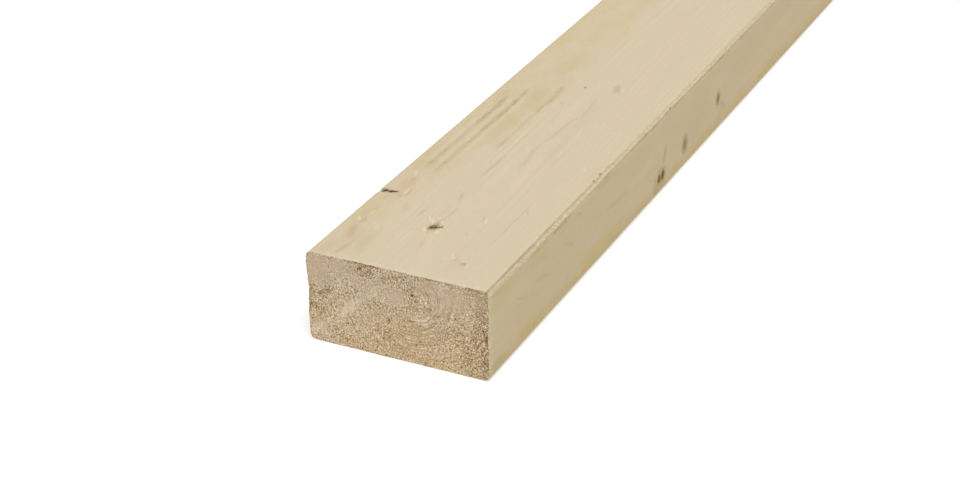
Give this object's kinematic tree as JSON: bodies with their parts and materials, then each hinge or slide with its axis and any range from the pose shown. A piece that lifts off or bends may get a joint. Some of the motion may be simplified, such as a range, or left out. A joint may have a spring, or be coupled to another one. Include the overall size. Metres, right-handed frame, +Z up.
{
  "type": "timber plank",
  "caption": "Straight length of planed softwood with a rectangular section, eased arrises, square sawn ends, a small split in one arris and a few tight knots.",
  "frame": {"origin": "middle of the bottom face, halfway along the length", "axes": "+X along the length, away from the sawn end seen in the picture; +Y across the width, to the left as that end is faced; +Z up through the thickness"},
  "size_m": [2.4, 0.09, 0.045],
  "materials": {
    "softwood": "bare planed softwood, rougher sawn end grain"
  },
  "bodies": {
    "root": {"plank": "softwood"}
  },
  "joints": []
}
